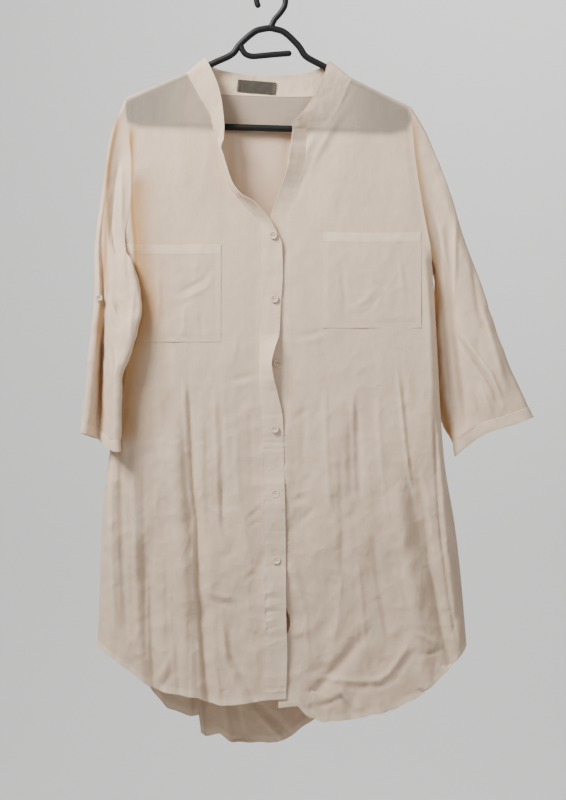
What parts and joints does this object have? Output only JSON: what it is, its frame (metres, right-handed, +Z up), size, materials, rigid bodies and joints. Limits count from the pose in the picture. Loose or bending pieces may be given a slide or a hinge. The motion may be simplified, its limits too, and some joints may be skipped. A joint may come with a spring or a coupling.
{
  "type": "long shirt on hanger",
  "caption": "Long loose shirt with a band collar, half-open placket, patch pockets, rolled three-quarter sleeves and a shirt-tail hem, on a tube hanger.",
  "frame": {"origin": "inner top of the hanger's hook, where a rail carries it", "axes": "+Z up, +Y toward the back of the shirt, front faces -Y, wearer's right at -X"},
  "size_m": [0.6183, 0.0848, 1.0437],
  "materials": {
    "cloth": "unbleached viscose and linen plain weave, sheer, soft creases",
    "placket_cloth": "the same cloth, doubled or with a lining layer",
    "label_cloth": "blank taupe satin ribbon",
    "button_plastic": "polished cream, flat face",
    "hanger_plastic": "black moulded tube, faint sheen"
  },
  "bodies": {
    "root": {"hanger": "hanger_plastic", "back": "cloth", "front_right": "cloth", "front_left": "cloth", "sleeve_right": "cloth", "sleeve_left": "cloth", "cuff_right": "cloth", "cuff_left": "cloth", "collar": "placket_cloth", "placket_top": "placket_cloth", "placket_under": "placket_cloth", "pocket_right": "placket_cloth", "pocket_left": "placket_cloth", "neck_label": "label_cloth", "button_1": "button_plastic", "button_2": "button_plastic", "button_3": "button_plastic", "button_4": "button_plastic", "button_5": "button_plastic", "button_6": "button_plastic", "sleeve_button_right": "button_plastic", "sleeve_button_left": "button_plastic"}
  },
  "joints": []
}
